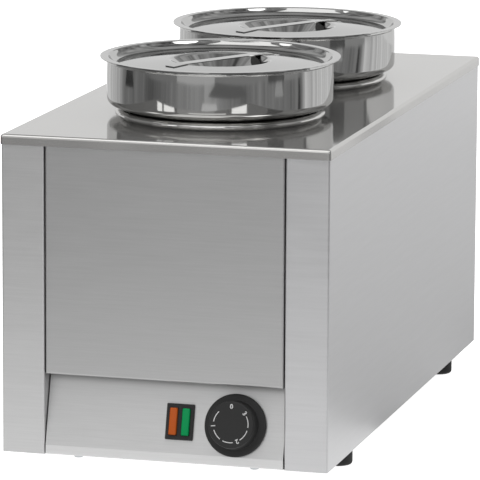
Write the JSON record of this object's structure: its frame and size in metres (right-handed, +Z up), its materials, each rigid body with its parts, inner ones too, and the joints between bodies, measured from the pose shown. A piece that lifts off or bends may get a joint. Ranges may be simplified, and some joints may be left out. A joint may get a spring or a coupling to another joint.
{
  "type": "bain marie",
  "caption": "Countertop electric bain-marie: stainless casing with round lidded pots set one behind the other in a heated water bath, thermostat knob and pilot lights on a sloped front.",
  "frame": {"origin": "on the standing surface, under the middle of the casing", "axes": "+X to the user's right, -Y the front with the controls, +Z up"},
  "size_m": [0.282, 0.5848, 0.3295],
  "materials": {
    "casing_steel": "stainless sheet with a long satin grain",
    "deck_steel": "bright stainless sheet",
    "polished_steel": "mirror-polished stainless, pressed and spun",
    "tank_steel": "plain stainless sheet",
    "zinc_steel": "bright zinc-plated steel",
    "heater_steel": "heat-darkened alloy sheath",
    "black_plastic": "fine matt moulding",
    "orange_plastic": "clear tinted moulding",
    "green_plastic": "clear tinted moulding",
    "black_rubber": "moulded, matt",
    "copper": "bare drawn tube",
    "brass": "bare stamping",
    "phenolic": "dark moulded resin",
    "ivory_plastic": "moulded",
    "brown_insulation": "extruded sleeve",
    "blue_insulation": "extruded sleeve",
    "earth_insulation": "extruded sleeve"
  },
  "bodies": {
    "cabinet": {"left_side_panel": "casing_steel", "right_side_panel": "casing_steel", "front_panel": "casing_steel", "control_fascia": "casing_steel", "rear_panel": "casing_steel", "top_deck": "deck_steel", "water_tank": "tank_steel", "base_pan": "tank_steel", "heater_clamps": "tank_steel", "bulb_clips": "tank_steel", "deck_studs": "zinc_steel", "deck_nuts": "zinc_steel", "fascia_screws": "zinc_steel", "rear_screws": "zinc_steel", "base_screws": "zinc_steel", "foot_screws": "zinc_steel", "foot_nuts": "zinc_steel", "clamp_studs": "zinc_steel", "clamp_nuts": "zinc_steel", "thermostat_screws": "zinc_steel", "limiter_studs": "zinc_steel", "limiter_nuts": "zinc_steel", "terminal_screws": "zinc_steel", "terminal_block_screws": "zinc_steel", "heating_element": "heater_steel", "heater_pins": "heater_steel", "pilot_light_housing": "black_plastic", "cable_gland": "black_plastic", "gland_locknut": "black_plastic", "orange_lens": "orange_plastic", "green_lens": "green_plastic", "foot_front_left": "black_rubber", "foot_front_right": "black_rubber", "foot_rear_left": "black_rubber", "foot_rear_right": "black_rubber", "sensor_bulb": "copper", "capillary_tube": "copper", "thermostat_tabs": "brass", "pilot_light_tabs": "brass", "earth_stud": "brass", "earth_nut": "brass", "thermostat": "phenolic", "overheat_limiter": "phenolic", "terminal_block": "ivory_plastic", "live_lead": "brown_insulation", "switched_lead": "brown_insulation", "heater_lead": "brown_insulation", "lamp_live_lead": "brown_insulation", "neutral_lead": "blue_insulation", "lamp_neutral_lead": "blue_insulation", "earth_lead": "earth_insulation"},
    "knob": {"control_knob": "black_plastic", "control_shaft": "zinc_steel"},
    "pot_front": {"pot_front": "polished_steel"},
    "pot_rear": {"pot_rear": "polished_steel"},
    "lid_front": {"lid_front": "polished_steel", "lid_handle_front": "polished_steel"},
    "lid_rear": {"lid_rear": "polished_steel", "lid_handle_rear": "polished_steel"}
  },
  "joints": [
    {"name": "knob_turn", "type": "hinge", "parent": "cabinet", "child": "knob", "pos_m": [0.0603, -0.27122, 0.04651], "axis": [0, 0.9659, -0.2588], "range_deg": [0, 310]},
    {"name": "pot_front_lift", "type": "slide", "parent": "cabinet", "child": "pot_front", "axis": [0, 0, 1], "range_m": [0, 0.2]},
    {"name": "lid_front_lift", "type": "slide", "parent": "pot_front", "child": "lid_front", "axis": [0, 0, 1], "range_m": [0, 0.1]},
    {"name": "pot_rear_lift", "type": "slide", "parent": "cabinet", "child": "pot_rear", "axis": [0, 0, 1], "range_m": [0, 0.2]},
    {"name": "lid_rear_lift", "type": "slide", "parent": "pot_rear", "child": "lid_rear", "axis": [0, 0, 1], "range_m": [0, 0.1]}
  ]
}
